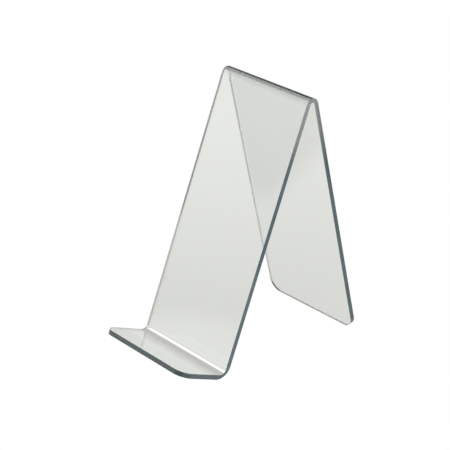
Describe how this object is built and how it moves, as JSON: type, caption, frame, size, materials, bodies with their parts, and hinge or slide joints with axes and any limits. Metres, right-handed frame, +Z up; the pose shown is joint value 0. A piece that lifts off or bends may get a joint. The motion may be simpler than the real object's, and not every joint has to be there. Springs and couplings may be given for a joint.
{
  "type": "plate display stand",
  "caption": "Clear sheet stand bent into a low front ledge, a leaning display panel and a straight rear leg, with rounded corners.",
  "frame": {"origin": "on the table, under the middle of the bounding box", "axes": "+Z up; the display panel faces -Y and leans back towards +Y; the sheet's width runs along X"},
  "size_m": [0.0762, 0.1408, 0.1617],
  "materials": {
    "clear_acrylic": "clear, polished faces and edges"
  },
  "bodies": {
    "root": {"bent_acrylic_sheet": "clear_acrylic"}
  },
  "joints": []
}
